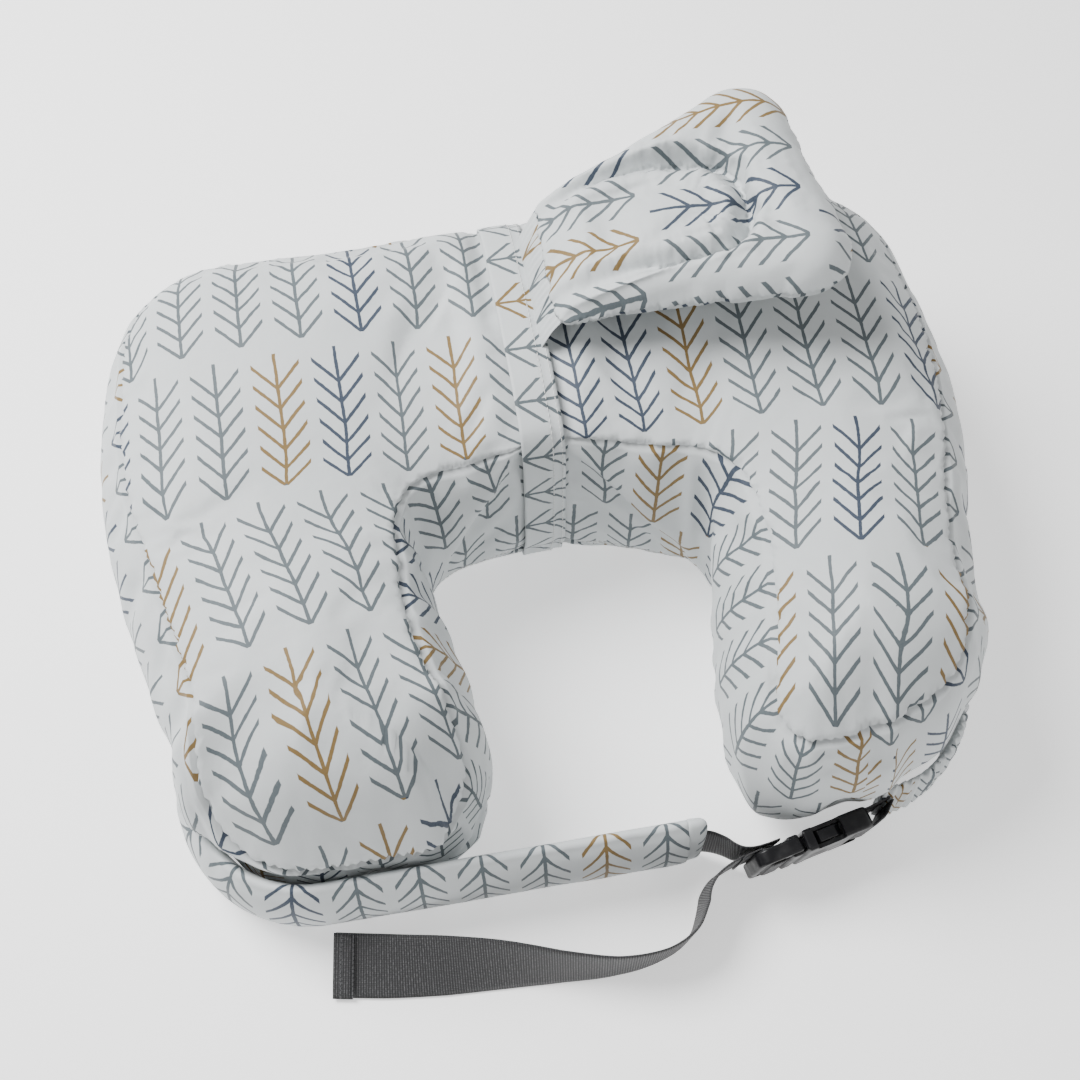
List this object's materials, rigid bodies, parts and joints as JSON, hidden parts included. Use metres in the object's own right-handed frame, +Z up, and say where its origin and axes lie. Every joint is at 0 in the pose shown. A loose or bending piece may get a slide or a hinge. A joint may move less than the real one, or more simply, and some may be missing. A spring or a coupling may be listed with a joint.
{
  "type": "nursing pillow",
  "caption": "U-shaped stuffed nursing pillow with a hinged head cushion on a band and a padded waist belt closed by a side-release buckle.",
  "frame": {"origin": "on the surface the pillow rests on, below the middle of its bounding box, in the lap opening", "axes": "+X along the back section towards the right arm, +Y towards the back, +Z up; the lap opening faces -Y"},
  "size_m": [0.5348, 0.4703, 0.2427],
  "materials": {
    "cover": "printed cotton sateen",
    "fibre_fill": "loose polyester fibre",
    "foam": "soft foam",
    "elastic": "woven elastic",
    "webbing": "ribbed polypropylene webbing",
    "buckle_plastic": "satin moulded",
    "zip_tape": "herringbone tape",
    "zip_coil": "nylon coil",
    "zip_metal": "nickel plated"
  },
  "bodies": {
    "pillow": {"fibre_fill": "fibre_fill", "cover_top_panel": "cover", "cover_outer_wall": "cover", "cover_inner_wall": "cover", "cover_under_panel": "cover", "zip_tape_upper": "zip_tape", "zip_tape_lower": "zip_tape", "zip_coil_upper": "zip_coil", "zip_coil_lower": "zip_coil", "zip_end_stops": "zip_metal", "head_band": "cover", "belt_foam": "foam", "belt_cover": "cover", "belt_end_cap": "cover", "belt_webbing": "webbing", "anchor_sleeve": "cover", "anchor_elastic": "elastic", "anchor_webbing": "webbing", "buckle_socket": "buckle_plastic"},
    "head_cushion": {"head_cushion_fill": "fibre_fill", "head_cushion_top_cover": "cover", "head_cushion_under_cover": "cover", "head_cushion_hinge_strip": "cover"},
    "buckle_plug": {"buckle_frame": "buckle_plastic", "webbing_wrap": "webbing", "webbing_tail": "webbing", "webbing_tail_hem": "webbing"},
    "prong_upper": {"buckle_prong_upper": "buckle_plastic"},
    "prong_lower": {"buckle_prong_lower": "buckle_plastic"},
    "zip_slider": {"zip_slider": "zip_metal"},
    "zip_pull": {"zip_pull": "zip_metal"}
  },
  "joints": [
    {"name": "head_cushion_flip", "type": "hinge", "parent": "pillow", "child": "head_cushion", "pos_m": [0.015, 0.14, 0.171], "axis": [0, -1, 0], "range_deg": [0, 90]},
    {"name": "buckle_release", "type": "slide", "parent": "pillow", "child": "buckle_plug", "axis": [-0.9781, -0.2079, 0], "range_m": [0, 0.025]},
    {"name": "prong_upper_flex", "type": "hinge", "parent": "buckle_plug", "child": "prong_upper", "pos_m": [0.1103, -0.20605, 0.04136], "axis": [-0.2059, 0.9686, 0.1392], "range_deg": [0, 6], "stiffness_Nm_per_rad": 0.05},
    {"name": "prong_lower_flex", "type": "hinge", "parent": "buckle_plug", "child": "prong_lower", "pos_m": [0.10946, -0.2021, 0.01264], "axis": [0.2059, -0.9686, -0.1392], "range_deg": [0, 6], "stiffness_Nm_per_rad": 0.05},
    {"name": "zip_travel", "type": "slide", "parent": "pillow", "child": "zip_slider", "axis": [-1, 0, 0], "range_m": [0, 0.099]},
    {"name": "zip_pull_swing", "type": "hinge", "parent": "zip_slider", "child": "zip_pull", "pos_m": [-0.042, 0.2156, 0.037], "axis": [1, 0, 0], "range_deg": [0, 150]}
  ],
  "couplings": [
    {"joint": "prong_lower_flex", "follows": "prong_upper_flex", "ratio": 1}
  ]
}
